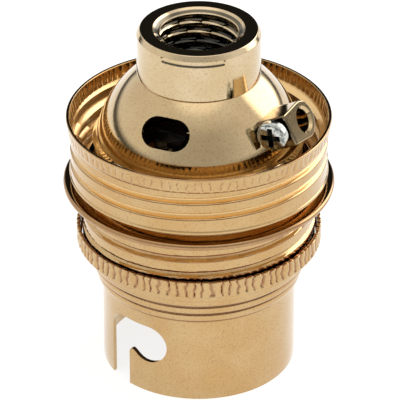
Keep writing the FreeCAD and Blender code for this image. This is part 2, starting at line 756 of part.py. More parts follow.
def insulator_block():
    """Moulded block that carries both contact barrels, with a barrier between them."""
    body = new_body("insulator_block")
    drill = "plate_screw_radius + screw_clearance"
    outline = Outline(body, "insulator_section")
    outline.line(drill, PLATE_TOP)
    outline.line("drum_radius", PLATE_TOP)
    outline.line("drum_radius", FLANGE_SEAT)
    outline.line("insulator_radius", FLANGE_SEAT)
    outline.line("insulator_radius", FLANGE_TOP)
    outline.line("boss_radius", FLANGE_TOP)
    outline.line("boss_radius", BOSS_TOP)
    outline.line("0", BOSS_TOP)
    outline.line("0", PLATE_BASE + " + plate_screw_length + plate_screw_sink")
    outline.line(drill, PLATE_BASE + " + plate_screw_length + plate_screw_sink")
    revolve(body, outline.close())
    barrier = rectangle(body, "barrier", "barrier_width", "barrier_length", offset=raised(BOSS_TOP))
    extrude(body, barrier, "PartDesign::Pad", "barrier_height")
    hole = circle(body, "tube_hole", "contact_offset", "0", "barrel_tube_radius + tube_clearance",
                  offset=raised(PLATE_TOP))
    bored = extrude(body, hole, "PartDesign::Pocket", "%s - %s" % (BOSS_TOP, PLATE_TOP), reverse=True)
    repeat(body, bored, len(CONTACTS))
    body.Placement = turned_to_contacts()
    return body


def plunger_plate():
    """Moulded plate screwed under the block, which keeps the plungers in."""
    body = new_body("plunger_plate")
    bore = "plate_screw_radius + screw_clearance"
    outline = Outline(body, "plate_section")
    outline.line("plate_screw_head + screw_clearance", PLATE_BASE)
    outline.line("drum_radius", PLATE_BASE)
    outline.line("drum_radius", PLATE_TOP)
    outline.line(bore, PLATE_TOP)
    outline.line(bore, PLATE_BASE + " + plate_screw_sink")
    revolve(body, outline.close())
    hole = circle(body, "plunger_hole", "contact_offset", "0", "plunger_radius + tube_clearance",
                  offset=raised(PLATE_BASE))
    bored = extrude(body, hole, "PartDesign::Pocket", "plate_height", reverse=True)
    repeat(body, bored, len(CONTACTS))
    body.Placement = turned_to_contacts()
    return body


def plate_screw():
    """Countersunk screw that holds the plate to the block."""
    body = new_body("plate_screw")
    outline = Outline(body, "plate_screw_section")
    outline.line("0", PLATE_BASE)
    outline.line("plate_screw_head", PLATE_BASE)
    outline.line("plate_screw_radius", PLATE_BASE + " + plate_screw_sink")
    outline.line("plate_screw_radius", PLATE_BASE + " + plate_screw_length")
    outline.line("0", PLATE_BASE + " + plate_screw_length")
    revolve(body, outline.close())
    slot = rectangle(body, "plate_screw_slot", "2 * plate_screw_head + punch_overrun", "recess_width",
                     offset=raised(PLATE_BASE))
    extrude(body, slot, "PartDesign::Pocket", "recess_depth", reverse=True)
    return body


def contact_barrel(side):
    """Brass tube that guides a plunger, with a square wire clamp on top."""
    body = new_body(side + "_contact_barrel")
    outline = Outline(body, side + "_tube_section")
    outline.line("barrel_tube_bore", PLATE_TOP)
    outline.line("barrel_tube_radius", PLATE_TOP)
    outline.line("barrel_tube_radius", BOSS_TOP)
    outline.line("0", BOSS_TOP)
    outline.line("0", TUBE_END)
    outline.line("barrel_tube_bore", TUBE_END)
    revolve(body, outline.close())
    head = rectangle(body, side + "_clamp", "head_side", "head_side", offset=raised(BOSS_TOP))
    extrude(body, head, "PartDesign::Pad", "head_height")
    wire = circle(body, side + "_wire_hole", "0", BOSS_TOP + " + wire_hole_height",
                  "wire_hole_radius", "YZ_Plane")
    extrude(body, wire, "PartDesign::Pocket", "head_side + punch_overrun", both=True)
    tap = circle(body, side + "_screw_hole", "0", "0", "terminal_screw_radius + screw_clearance",
                 offset=raised(BOSS_TOP + " + head_height"))
    extrude(body, tap, "PartDesign::Pocket", "head_height - wire_hole_height")
    body.Placement = at_contact(side, "0")
    return body


def plunger(side):
    """Spring-loaded contact pin, kept in by its collar."""
    body = new_body(side + "_plunger")
    tip = "(%s - plunger_reach)" % PLATE_TOP
    outline = Outline(body, side + "_plunger_section")
    outline.line("0", tip)
    outline.sweep("plunger_radius", tip + " + plunger_tip_height",
                  crown("plunger_radius", "plunger_tip_height"), -1)
    outline.line("plunger_radius", PLATE_TOP)
    outline.line("collar_radius", PLATE_TOP)
    outline.line("collar_radius", COLLAR_TOP)
    outline.line("spring_nub_radius", COLLAR_TOP)
    outline.line("spring_nub_radius", COLLAR_TOP + " + spring_nub_height")
    outline.line("0", COLLAR_TOP + " + spring_nub_height")
    revolve(body, outline.close())
    body.Placement = at_contact(side, "0")
    return body


def plunger_spring(side):
    """Coil spring between the plunger's collar and the closed end of its barrel."""
    body = new_body(side + "_plunger_spring")
    section = circle(body, side + "_spring_wire", "spring_radius", COLLAR_TOP + " + spring_wire",
                     "spring_wire", "XZ_Plane")
    coil = body.newObject("PartDesign::AdditiveHelix", side + "_coil")
    coil.Profile = section
    coil.ReferenceAxis = (section, ["V_Axis"])
    coil.Mode = "height-turns-angle"
    bind(coil, "Height", "%s - %s - 2 * spring_wire" % (TUBE_END, COLLAR_TOP))
    bind(coil, "Turns", "spring_turns")
    doc.recompute()
    body.Placement = at_contact(side, "0")
    return body


def terminal_screw(side):
    """Slotted screw that clamps a wire in the contact barrel's head."""
    body = pan_screw(side + "_terminal_screw", "terminal_screw_radius", "terminal_screw_length",
                     "terminal_screw_head", "terminal_screw_head_height", 1)
    height = BOSS_TOP + " + head_height + terminal_screw_gap - terminal_screw_length"
    body.Placement = at_contact(side, height)
    return body


def build():
    """Make every piece, check it, and write one file for each."""
    pieces = [
        body_shell(),
        lower_shade_ring(),
        upper_shade_ring(),
        cap_shell(),
        cap_nozzle(),
        earth_terminal_block(),
        earth_clamp_screw(),
        washer("seat_washer", "washer_bore", "insulator_radius", LEDGE),
        insulator_block(),
        washer("clamp_washer", "washer_bore", "insulator_radius", FLANGE_TOP),
        plunger_plate(),
        plate_screw(),
    ]
    for side in CONTACTS:
        pieces += [contact_barrel(side), plunger(side), plunger_spring(side), terminal_screw(side)]
    doc.recompute()
    for thing in doc.Objects:
        if "Invalid" in thing.State or "Error" in thing.State:
            raise RuntimeError("%s is in state %s" % (thing.Label, thing.State))
    for piece in pieces:
        if piece.Shape.isNull() or not piece.Shape.isValid() or not piece.Shape.Solids:
            raise RuntimeError("%s has no sound shape" % piece.Label)
    os.makedirs("parts", exist_ok=True)
    for piece in pieces:
        piece.Shape.exportStep("parts/%s.step" % piece.Label)
        box = piece.Shape.BoundBox
        print("%-24s solids %d faces %4d volume %9.3f z %7.3f to %7.3f" % (
            piece.Label, len(piece.Shape.Solids), len(piece.Shape.Faces), piece.Shape.Volume, box.ZMin, box.ZMax))


build()
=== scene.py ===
# %% [markdown]
# # A brass bayonet lampholder
# The holder is pressed, rolled and turned from brass, and it stands on the mouth of its barrel.
# The frame below is the construction model. It settles the overall sizes, and this lesson dresses it:
# finer skins for the pieces that show, then brass, steel, moulded and fibre finishes, then a plain studio.

# %% Open the frame
import json
import math
import bmesh
import bpy
from mathutils import Matrix, Vector


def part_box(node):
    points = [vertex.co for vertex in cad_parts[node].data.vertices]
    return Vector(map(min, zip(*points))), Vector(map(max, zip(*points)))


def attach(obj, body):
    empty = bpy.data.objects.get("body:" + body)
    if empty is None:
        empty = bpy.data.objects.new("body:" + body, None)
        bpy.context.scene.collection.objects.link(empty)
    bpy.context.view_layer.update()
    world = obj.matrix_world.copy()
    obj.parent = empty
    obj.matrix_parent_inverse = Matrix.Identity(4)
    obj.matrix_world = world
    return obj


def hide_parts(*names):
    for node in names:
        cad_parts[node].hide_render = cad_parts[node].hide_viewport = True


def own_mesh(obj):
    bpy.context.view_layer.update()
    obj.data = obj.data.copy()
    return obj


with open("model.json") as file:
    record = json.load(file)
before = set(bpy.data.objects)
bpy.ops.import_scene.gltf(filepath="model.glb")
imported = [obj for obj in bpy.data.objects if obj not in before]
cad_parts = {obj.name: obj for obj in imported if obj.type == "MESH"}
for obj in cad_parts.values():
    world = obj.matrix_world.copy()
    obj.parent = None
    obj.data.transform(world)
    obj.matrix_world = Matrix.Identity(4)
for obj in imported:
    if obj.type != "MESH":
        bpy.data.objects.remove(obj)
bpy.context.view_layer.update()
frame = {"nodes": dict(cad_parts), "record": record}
MM = 0.001

# %% [markdown]
# ## Drawing a turned wall
# Most of the pieces that show are walls carried once round the axis, so one helper makes them all.
# It takes the wall's cross-section as corners, each with a small round, because no pressed edge is sharp
# and the round is what catches the light. Straight runs are cut into short steps, so that a thread
# or a knurl can push them in and out. A modifier could spin the section too, but a grid of our own
# lets the thread climb as it goes round, which a plain spin can't.

# %% A cross-section with rounded corners
ALMOST_STRAIGHT = 0.02


def between(start, end, step):
    """Points that cut a straight run into pieces no longer than a step, without its ends."""
    cuts = int((end - start).length / step)
    return [start.lerp(end, (index + 1) / (cuts + 1)) for index in range(cuts)]


def section(corners, step, turns=4):
    """Points round a closed cross-section, in millimetres; each corner is (radius, height, round).

    A fourth number, where a corner has one, is the step of the straight run that ends there."""
    points = []
    count = len(corners)
    for index, corner in enumerate(corners):
        across, up, bend = corner[:3]
        here = Vector((across, up))
        before = Vector(corners[index - 1][:2])
        after = Vector(corners[(index + 1) % count][:2])
        into = (here - before).normalized()
        out = (after - here).normalized()
        turn = into.angle_signed(out, 0.0)
        if bend <= 0 or abs(turn) < ALMOST_STRAIGHT:
            rounded = [here]
        else:
            reach = bend * math.tan(abs(turn) / 2)
            start = here - into * reach
            side = Vector((-into.y, into.x)) * (-1 if turn > 0 else 1)
            centre = start + side * bend
            rounded = []
            for part in range(turns + 1):
                spin = Matrix.Rotation(-turn * part / turns, 2)
                rounded.append(centre + spin @ (start - centre))
        if points:
            points += between(points[-1], rounded[0], corner[3] if len(corner) > 3 else step)
        points += rounded
    points += between(points[-1], points[0], step)
    return points


square = [(0, 0, 1), (9, 0, 1), (9, 9, 1), (0, 9, 1)]
print("a 9 mm square with round corners has", len(section(square, 0.3)), "points")

# %% Carry a cross-section round the axis
CREASE = 38


def piece_from(name, places, faces, crease=CREASE):
    """A smooth-shaded piece made of these points and faces; edges sharper than the crease stay crisp."""
    mesh = bpy.data.meshes.new(name)
    mesh.from_pydata(places, [], faces)
    build = bmesh.new()
    build.from_mesh(mesh)
    bmesh.ops.recalc_face_normals(build, faces=build.faces)
    build.to_mesh(mesh)
    build.free()
    mesh.shade_smooth()
    mesh.set_sharp_from_angle(angle=math.radians(crease))
    piece = bpy.data.objects.new(name, mesh)
    bpy.context.scene.collection.objects.link(piece)
    return piece


def turned(name, points, around, form, crease=CREASE):
    """A mesh wall: the section's points carried round Z, each moved by form(radius, height, angle)."""
    places = []
    for index in range(around):
        angle = math.tau * index / around
        east, north = math.sin(angle), -math.cos(angle)
        for point in points:
            radius, height = form(*point, angle)
            places.append((radius * east * MM, radius * north * MM, height * MM))
    high = len(points)
    faces = []
    for index in range(around):
        here, there = index * high, ((index + 1) % around) * high
        for row in range(high):
            above = (row + 1) % high
            faces.append((here + row, there + row, there + above, here + above))
    return piece_from(name, places, faces, crease)


print("helpers ready: piece_from and turned, with edges crisp above", CREASE, "degrees")

# %% [markdown]
# ## The rolled thread
# The shade thread is rolled into thin sheet: the outside and the inside move together, and the groove
# climbs one pitch for each turn. A cosine of the distance along the axis gives its smooth hollows,
# and the thread fades out at both ends as a roller leaves it.

# %% A groove that climbs as it goes round
def smooth(low, high, value):
    """0 below low, 1 above high, and an easy curve between."""
    share = min(max((value - low) / (high - low), 0.0), 1.0)
    return share * share * (3 - 2 * share)


def from_front(angle):
    """The same angle, counted up to half a turn either way from the front."""
    return (angle + math.pi) % math.tau - math.pi


def rolled(height, angle, start, pitch, depth, low, high, fade=0.5, open_at=0.2):
    """How far a rolled thread pushes the wall in, in millimetres, at a height and angle."""
    wave = math.cos(math.tau * ((height - start) / pitch - from_front(angle) / math.tau))
    ends = smooth(low, low + fade, height) * (1 - smooth(high - fade, high, height))
    return depth * ends * smooth(open_at, 1.0, wave)


deepest = rolled(height=5, angle=0, start=5, pitch=2, depth=0.45, low=0, high=9)
print("a groove at its deepest, in millimetres", deepest)

# %% [markdown]
# ## The body shell
# A single drawn shell: the barrel takes the lamp, three rolled steps widen it, and a thread carries the
# shade rings. The flange is the sheet folded out and back on itself. Its wall is half a millimetre thick.

# %% The body shell's wall
WALL = 0.5
BARREL_RADIUS = 11.75
STEP_RADIUS, STEP_FOOT = 12.45, 11.4
STEP_OUT, STEP_RISE = 0.4, 1.27
STEP_TOP = STEP_FOOT + 3 * STEP_RISE
CREST = 14.05
FLANGE_RADIUS, FLANGE_FOOT, FLANGE_TOP = 16.29, 23.7, 24.45
SHELL_TOP = 26.5
SHELL_THREAD = 19.15
THREAD_PITCH, THREAD_DEPTH = 2.15, 0.45

bore = BARREL_RADIUS - WALL
outside = [(bore, 0.0, 0.09), (BARREL_RADIUS, 0.0, 0.09), (BARREL_RADIUS, STEP_FOOT, 0.12)]
inside = [(bore, STEP_FOOT + WALL, 0.45)]
for radius, foot, bend, inner_bend, upper_bend in (
        (STEP_RADIUS, STEP_FOOT, 0.3, 0.3, 0.28),
        (STEP_RADIUS + STEP_OUT, STEP_FOOT + STEP_RISE, 0.28, 0.1, 0.28),
        (STEP_RADIUS + 2 * STEP_OUT, STEP_FOOT + 2 * STEP_RISE, 0.28, 0.1, 0.3)):
    top = foot + STEP_RISE
    outside += [(radius, foot, bend), (radius, top, 0.1, 0.12)]
    inside += [(radius - WALL, foot + WALL, inner_bend), (radius - WALL, top + WALL, upper_bend)]
shell_corners = outside + [
    (CREST, STEP_TOP, 0.3), (CREST, FLANGE_FOOT, 0.08, 0.1), (FLANGE_RADIUS, FLANGE_FOOT, 0.34),
    (FLANGE_RADIUS, FLANGE_TOP, 0.34), (CREST, FLANGE_TOP, 0.08), (CREST, SHELL_TOP, 0.12, 0.1),
    (CREST - WALL, SHELL_TOP, 0.12), (CREST - WALL, STEP_TOP + WALL, 0.08, 0.35),
] + inside[::-1]


def step_skin(height):
    """A radius inside the outer face of the rolled steps at this height."""
    return STEP_RADIUS - 0.2 + STEP_OUT * int((height - STEP_FOOT) / STEP_RISE)


def shell_form(radius, height, angle):
    """The shade thread below and above the flange, and a belly on each rolled step."""
    if STEP_FOOT < height < STEP_TOP and radius > step_skin(height):
        across = ((height - STEP_FOOT) / STEP_RISE) % 1.0
        return radius - 0.2 * (2 * across - 1) ** 2, height
    if radius < 13.3 or radius > 14.2:
        return radius, height
    below = rolled(height, angle, SHELL_THREAD, THREAD_PITCH, THREAD_DEPTH, low=16.6, high=23.3)
    above = rolled(height, angle, SHELL_THREAD, THREAD_PITCH, THREAD_DEPTH, low=24.7, high=26.3)
    return radius - below - above, height


shell = turned("shell", section(shell_corners, 1.5), around=340, form=shell_form, crease=60)
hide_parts("body_shell")
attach(shell, "body")
print("shell faces", len(shell.data.polygons))

# %% [markdown]
# The two J-slots are punched straight through the barrel from outside. A cutter with the slot's outline
# is taken away from the wall, which leaves square stamped edges just as a punch does.

# %% Punch the J-slots
def arc_points(centre, radius, start, end, parts=10):
    """Points along an arc in the flat, angles in degrees."""
    points = []
    for index in range(parts + 1):
        turn = math.radians(start + (end - start) * index / parts)
        points.append((centre[0] + radius * math.cos(turn), centre[1] + radius * math.sin(turn)))
    return points


def prism(name, outline, near, far, facing):
    """A bar with this outline, across and up in millimetres, that runs out along -Y; facing turns it."""
    count = len(outline)
    places = [(across * MM, -reach * MM, up * MM) for reach in (near, far) for across, up in outline]
    faces = [tuple(range(count)), tuple(reversed(range(count, 2 * count)))]
    for index in range(count):
        after = (index + 1) % count
        faces.append((after, index, index + count, after + count))
    bar = piece_from(name, places, faces)
    bar.data.transform(facing)
    return bar


def settle(piece):
    """Turn a piece's modifiers into plain mesh for good."""
    graph = bpy.context.evaluated_depsgraph_get()
    mesh = bpy.data.meshes.new_from_object(piece.evaluated_get(graph))
    piece.modifiers.clear()
    piece.data = mesh


def cut_away(piece, cutters, crease=CREASE):
    """Take the cutters away from a piece for good."""
    for cutter in cutters:
        tool = piece.modifiers.new("cut", "BOOLEAN")
        tool.operation = "DIFFERENCE"
        tool.solver = "EXACT"
        tool.object = cutter
    settle(piece)
    piece.data.set_sharp_from_angle(angle=math.radians(crease))
    for cutter in cutters:
        bpy.data.objects.remove(cutter)


SLOT_TURN = -38
slot_outline = [(-4.75, -1.0), (-1.53, -1.0), (-1.53, 4.7)]
slot_outline += [(-1.43, 5.0), (-1.22, 5.2), (-0.95, 5.24), (-0.72, 5.15), (-0.144, 4.752)]
slot_outline += arc_points((1.29, 6.8), 2.5, 235, 450, 24)
slot_outline += arc_points((-2.35, 6.9), 2.4, 90, 180, 8)
punches = []
for turn in (SLOT_TURN, SLOT_TURN + 180):
    facing = Matrix.Rotation(math.radians(turn), 4, "Z")
    punches.append(prism("punch", slot_outline, near=6.0, far=14.0, facing=facing))
cut_away(shell, punches)
print("shell faces after punching", len(shell.data.polygons))

# %% [markdown]
# ## The shade rings
# The lower ring is an L in section, seated on the thread, with coarse ribs round its wall.
# The upper ring is deep: its wall is rolled into a thread of its own and flares to a finely knurled rim.

# %% The lower shade ring
RIB_SHARPNESS = 0.6


def ribs(angle, height, count):
    """0 in the bottom of a flute and 1 on a rib's back, round the ring; no two ribs are quite alike."""
    uneven = 0.35 * math.sin(angle * 17 + 1.0) + 0.3 * math.sin(angle * 29)
    lean = 0.3 * math.sin(3.1 * height + 23 * angle) + 0.15 * math.sin(6.7 * height + 41 * angle)
    return abs(math.cos(angle * count / 2 + uneven + lean)) ** RIB_SHARPNESS


lower_corners = [
    (14.13, 16.3, 0.06), (14.8, 16.3, 0.16), (14.8, 18.45, 0.1, 0.16), (14.35, 18.45, 0.1),
    (14.35, 16.8, 0.1), (14.13, 16.8, 0.06),
]


def lower_form(radius, height, angle):
    """Coarse ribs, deeper in the outside than in the inside, with a wavy top edge."""
    rib = ribs(angle, height, count=88)
    grip = smooth(16.35, 16.65, height)
    depth = 0.22 * smooth(14.4, 14.75, radius) + 0.06 * smooth(14.2, 14.34, radius)
    return radius - depth * grip * (1 - rib), height - 0.16 * (1 - rib) * smooth(18.1, 18.45, height)


lower_ring = turned("lower_ring", section(lower_corners, 0.3), around=880, form=lower_form, crease=50)
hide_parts("lower_shade_ring")
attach(lower_ring, "lower_ring")
print("lower ring faces", len(lower_ring.data.polygons))

# %% The upper shade ring
RIM_FOOT, RIM_FOOT_RADIUS = 31.3, 15.6
RIM_LIP, RIM_LIP_RADIUS = 32.9, 15.82
RING_THREAD, RING_PITCH = 27.85, 2.07
upper_corners = [
    (14.13, 25.4, 0.06), (15.52, 25.4, 0.12), (15.52, 25.75, 0.1), (15.4, 25.88, 0.1),
    (15.4, 30.95, 0.3, 0.1), (RIM_FOOT_RADIUS, RIM_FOOT, 0.3), (RIM_LIP_RADIUS, RIM_LIP, 0.1, 0.16),
    (15.74, 33.0, 0.1), (15.44, 33.0, 0.06), (15.4, 32.85, 0.1), (15.16, 31.35, 0.3),
    (14.95, 31.0, 0.3), (14.95, 25.95, 0.15, 0.28), (14.13, 25.95, 0.06),
]


def upper_form(radius, height, angle):
    """A rolled thread through the wall, and fine knurling round the rim."""
    wall = smooth(14.8, 14.94, radius)
    push = wall * rolled(height, angle, RING_THREAD, RING_PITCH, depth=0.6, low=26.5, high=31.2, open_at=0.1)
    band = smooth(31.25, 31.5, height) * (1 - smooth(32.5, 32.8, height))
    knurl = 0.11 * band * (1 - ribs(angle, height, count=100))
    return radius - push - knurl, height


upper_ring = turned("upper_ring", section(upper_corners, 0.6, 3), around=650, form=upper_form, crease=60)
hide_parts("upper_shade_ring")
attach(upper_ring, "upper_ring")
print("upper ring faces", len(upper_ring.data.polygons))

# %% [markdown]
# ## The cap and its nozzle
# The cap is a spun dome over a rolled skirt. The oval wire outlet is punched square to the dome.
# The nozzle is turned from bar, threaded inside, and riveted into the top of the dome.

# %% The domed cap
DOME_CENTRE, DOME_RADIUS, DOME_FOOT = 28.4, 12.4, 29.75
SKIRT_RADIUS, SKIRT_FOOT, SKIRT_TOP = 12.45, 18.81, 29.7
CROWN_HOLE = 6.3


def on_sphere(radius, across):
    """The height at which the dome's sphere has this distance from the axis."""
    return DOME_CENTRE + math.sqrt(radius ** 2 - across ** 2)


def dome_arc(radius, parts):
    """Points of the dome's section from its foot up to the hole in its crown."""
    high = on_sphere(radius, CROWN_HOLE)
    first = math.asin((DOME_FOOT - DOME_CENTRE) / radius)
    last = math.asin((high - DOME_CENTRE) / radius)
    points = []
    for index in range(parts + 1):
        turn = first + (last - first) * index / parts
        points.append(Vector((radius * math.cos(turn), DOME_CENTRE + radius * math.sin(turn))))
    return points


skirt_foot, skirt_top = [Vector((SKIRT_RADIUS, height)) for height in (SKIRT_FOOT, SKIRT_TOP)]
inner_foot, inner_top = [Vector((SKIRT_RADIUS - WALL, height)) for height in (SKIRT_FOOT, SKIRT_TOP)]
cap_points = [inner_foot, skirt_foot] + between(skirt_foot, skirt_top, 0.2)
cap_points += dome_arc(DOME_RADIUS, 60)
cap_points += reversed(dome_arc(DOME_RADIUS - WALL, 40))
cap_points += between(inner_top, inner_foot, 0.2)


def cap_form(radius, height, angle):
    """The skirt's rolled ridges, and the bead that finishes the dome's foot."""
    if radius < 11.5:
        return radius, height
    ridge = rolled(height, angle, 22.35, THREAD_PITCH, -THREAD_DEPTH, low=19.2, high=26.6)
    bead = -0.45 * smooth(29.8, 30.2, height) * (1 - smooth(30.2, 30.6, height))
    return radius - ridge - bead, height


def from_dome(turn, lean):
    """A place at the dome's centre, turned round the axis and then leant over, both in degrees."""
    place = Matrix.Translation((0, 0, DOME_CENTRE * MM)) @ Matrix.Rotation(math.radians(turn), 4, "Z")
    return place @ Matrix.Rotation(math.radians(lean), 4, "X")


cap = turned("cap", cap_points, around=320, form=cap_form)
OUTLET_HALF, OUTLET_END = 1.1, 1.9
outlet = arc_points((OUTLET_HALF, 0), OUTLET_END, -90, 90, 12)
outlet += arc_points((-OUTLET_HALF, 0), OUTLET_END, 90, 270, 12)
cut_away(cap, [prism("outlet", outlet, near=8.0, far=14.0, facing=from_dome(-23, -35))])
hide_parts("cap_shell")
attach(cap, "cap")
print("cap faces", len(cap.data.polygons))

# %% The turned nozzle
NOZZLE_RADIUS, NOZZLE_TOP, NOZZLE_BORE = 7.34, 44.4, 4.6
FLAT_STARTS, FLAT_ENDS = (-37.0, -35.5), (23.5, 25.0)
nozzle_corners = [
    (NOZZLE_BORE, 37.2, 0.1), (7.2, 37.2, 0.2), (7.2, 37.87, 0.0), (6.25, 38.5, 0.0), (6.25, 39.0, 0.0),
    (NOZZLE_RADIUS, on_sphere(DOME_RADIUS, NOZZLE_RADIUS), 0.06), (NOZZLE_RADIUS, 43.8, 0.1, 0.16),
    (6.95, NOZZLE_TOP, 0.14), (5.45, NOZZLE_TOP, 0.08), (4.85, 44.0, 0.06), (NOZZLE_BORE, 43.9, 0.0),
]


def nozzle_form(radius, height, angle):
    """The entry thread, cut into the bore from its mouth down, and the shallow flat under the rim."""
    if radius < NOZZLE_BORE + 0.1 and height > 37.25:
        cut = rolled(height, angle, 40.0, 1.25, depth=0.42, low=36.5, high=43.98, fade=0.3, open_at=-0.7)
        return radius + cut, height
    if radius < 7.2 or height < 43.0:
        return radius, height
    turn = math.degrees(from_front(angle))
    across = smooth(*FLAT_STARTS, turn) * (1 - smooth(*FLAT_ENDS, turn))
    tall = smooth(43.1, 43.2, height) * (1 - smooth(43.62, 43.74, height))
    return radius - 0.22 * across * tall, height


nozzle = turned("nozzle", section(nozzle_corners, 0.12), around=320, form=nozzle_form)
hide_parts("cap_nozzle")
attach(nozzle, "cap")
print("nozzle faces", len(nozzle.data.polygons))

# %% [markdown]
# ## The earth terminal
# The block is a short brass bar with one round end. Its wire hole is countersunk, a tapped hole in the
# front end takes the clamping screw, and its foot is hollowed to sit on the dome.
# Every outside edge is softened first, and the holes are drilled afterwards, as in the shop.

# %% The earth block
BLOCK_TURN = 64
BLOCK_FACE, BLOCK_END = 15.45, 2.3
WIRE_HOLE, WIRE_MOUTH = 1.35, 1.65
SCREW_SIDE, SCREW_OUT, SCREW_START = 0.7, 13.8, -1.0
HOLLOW = 12.42
on_terminal = from_dome(BLOCK_TURN, 62.5)


def lathe(name, outline, around, place, crease=CREASE):
    """A solid turned about its own axis, given as (distance along, radius), then set in place."""
    count = len(outline)
    places = []
    for index in range(around):
        turn = math.tau * index / around
        for along, radius in outline:
            places.append((radius * math.cos(turn) * MM, radius * math.sin(turn) * MM, along * MM))
    faces = []
    for index in range(around):
        here, there = index * count, ((index + 1) % around) * count
        for row in range(count - 1):
            faces.append((here + row, there + row, there + row + 1, here + row + 1))
    faces.append(tuple(index * count for index in range(around)))
    faces.append(tuple(index * count + count - 1 for index in reversed(range(around))))
    made = piece_from(name, places, faces, crease)
    made.data.transform(place)
    return made


def soften(piece, width):
    """Round every edge of a flat-sided piece for good."""
    bevel = piece.modifiers.new("softened", "BEVEL")
    bevel.width = width * MM
    bevel.segments = 3
    bevel.limit_method = "ANGLE"
    settle(piece)


block_outline = [(-3.7, -1.6)] + arc_points((0, 0), BLOCK_END, -90, 90, 20) + [(-3.7, BLOCK_END)]
upright = Matrix.Rotation(math.radians(-90), 4, "X")
block = prism("earth_block", block_outline, near=10.9, far=BLOCK_FACE, facing=upright)
soften(block, 0.16)
block.data.transform(on_terminal)
wire_hole = [(12.75, WIRE_HOLE), (BLOCK_FACE - 0.3, WIRE_HOLE), (BLOCK_FACE, WIRE_MOUTH), (16.5, WIRE_MOUTH)]
along_screw = Matrix.Translation((SCREW_START * MM, SCREW_SIDE * MM, SCREW_OUT * MM))
along_screw = on_terminal @ along_screw @ Matrix.Rotation(math.radians(-90), 4, "Y")
half_circle = [math.pi * part / 64 for part in range(1, 64)]
ball_points = [(-HOLLOW * math.cos(turn), HOLLOW * math.sin(turn)) for turn in half_circle]
cut_away(block, [
    lathe("ball", ball_points, around=160, place=Matrix.Translation((0, 0, DOME_CENTRE * MM))),
    lathe("drill", wire_hole, around=64, place=on_terminal),
    lathe("tap", [(-1.05, 1.2), (3.7, 1.2)], around=48, place=along_screw),
], crease=12)
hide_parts("earth_terminal_block")
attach(block, "cap")
print("earth block box", [round(v / MM, 2) for v in block.dimensions])

# %% The earth screw
half_threads = [(0.1 + 0.125 * part, 1.13 if part % 2 else 1.0) for part in range(25)]
screw_profile = [(0.0, 0.9)] + half_threads + [
    (3.38, 1.0), (3.4, 1.7), (3.48, 1.82), (3.62, 1.85), (4.2, 1.85), (4.34, 1.8), (4.44, 1.66),
    (4.52, 1.4), (4.57, 1.0), (4.6, 0.5), (4.6, 0.02)]
earth_screw = lathe("earth_screw", screw_profile, around=64, place=along_screw, crease=30)


def cross_outline(reach, half, lean):
    """A cross with four equal arms, leant over by some degrees, as points round its edge."""
    quarter = [(half, half), (half, reach), (-half, reach)]
    points = []
    for turn in range(4):
        spin = Matrix.Rotation(math.radians(90 * turn + lean), 2)
        points += [tuple(spin @ Vector(corner)) for corner in quarter]
    return points


endways = Matrix.Rotation(math.radians(90), 4, "X")
recess = prism("recess", cross_outline(1.2, 0.33, 20), near=-5.5, far=-3.85, facing=endways)
recess.data.transform(along_screw)
cut_away(earth_screw, [recess], crease=24)
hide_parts("earth_clamp_screw")
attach(earth_screw, "earth_screw")
print("earth screw faces", len(earth_screw.data.polygons))

# %% [markdown]
# ## The plunger springs
# Each contact plunger is pushed out by a coil of hard wire; its upper end rests in the barrel, and the real
# coil closes up when a lamp cap presses it.
# Here each coil is drawn at rest and carried with the body.
# A curve with a round bevel could draw the wire, but mesh code gives exact ends and is just as short.

# %% Two coil springs at rest
WIRE = 0.22
COIL_RADIUS = 1.6
COIL_TURNS = 5


def coil_spring(side):
    """A wire carried round and up inside its barrel, at rest, carried with the body."""
    low, high = [Vector(corner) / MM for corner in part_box(side + "_plunger_spring")]
    middle = (low + high) / 2
    rise = high.z - low.z - 2 * WIRE
    around, steps = 10, 40 * COIL_TURNS
    places = []
    for step in range(steps + 1):
        turn = math.tau * COIL_TURNS * step / steps
        out = Vector((math.cos(turn), math.sin(turn), 0))
        centre = Vector((middle.x, middle.y, low.z + WIRE + rise * step / steps))
        centre += out * COIL_RADIUS
        for part in range(around):
            spin = math.tau * part / around
            places.append((centre + out * WIRE * math.cos(spin) + Vector((0, 0, WIRE * math.sin(spin)))) * MM)
    faces = [tuple(range(around)), tuple(steps * around + part for part in reversed(range(around)))]
    for step in range(steps):
        for part in range(around):
            here, after = step * around, (part + 1) % around
            faces.append((here + part, here + after, here + around + after, here + around + part))
    coil = piece_from(side + "_coil", places, faces, crease=60)
    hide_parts(side + "_plunger_spring")
    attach(coil, "body")
    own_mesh(coil)
    return coil


coils = [coil_spring(side) for side in ("left", "right")]

# %% [markdown]
# ## Finishes as written sums
# A finish varies from place to place, and the sums that vary it read best as plain arithmetic.
# A small class holds one socket, and its operators add the Math nodes that a sum needs.
# Every other node comes from one method, so each finish below is only a few lines long.

# %% A socket that can be added and multiplied
class Value:
    """One socket of a finish, usable in sums."""

    def __init__(self, finish, socket):
        self.finish = finish
        self.socket = socket

    def sum_with(self, operation, first, second):
        """Add the Math node for one operation."""
        return self.finish.node("ShaderNodeMath", {"operation": operation}, {0: first, 1: second})

    def __add__(self, other):
        return self.sum_with("ADD", self, other)

    def __radd__(self, other):
        return self.sum_with("ADD", other, self)

    def __sub__(self, other):
        return self.sum_with("SUBTRACT", self, other)

    def __rsub__(self, other):
        return self.sum_with("SUBTRACT", other, self)

    def __mul__(self, other):
        return self.sum_with("MULTIPLY", self, other)

    def __rmul__(self, other):
        return self.sum_with("MULTIPLY", other, self)

    def __truediv__(self, other):
        return self.sum_with("DIVIDE", self, other)

    def __pow__(self, other):
        return self.sum_with("POWER", self, other)


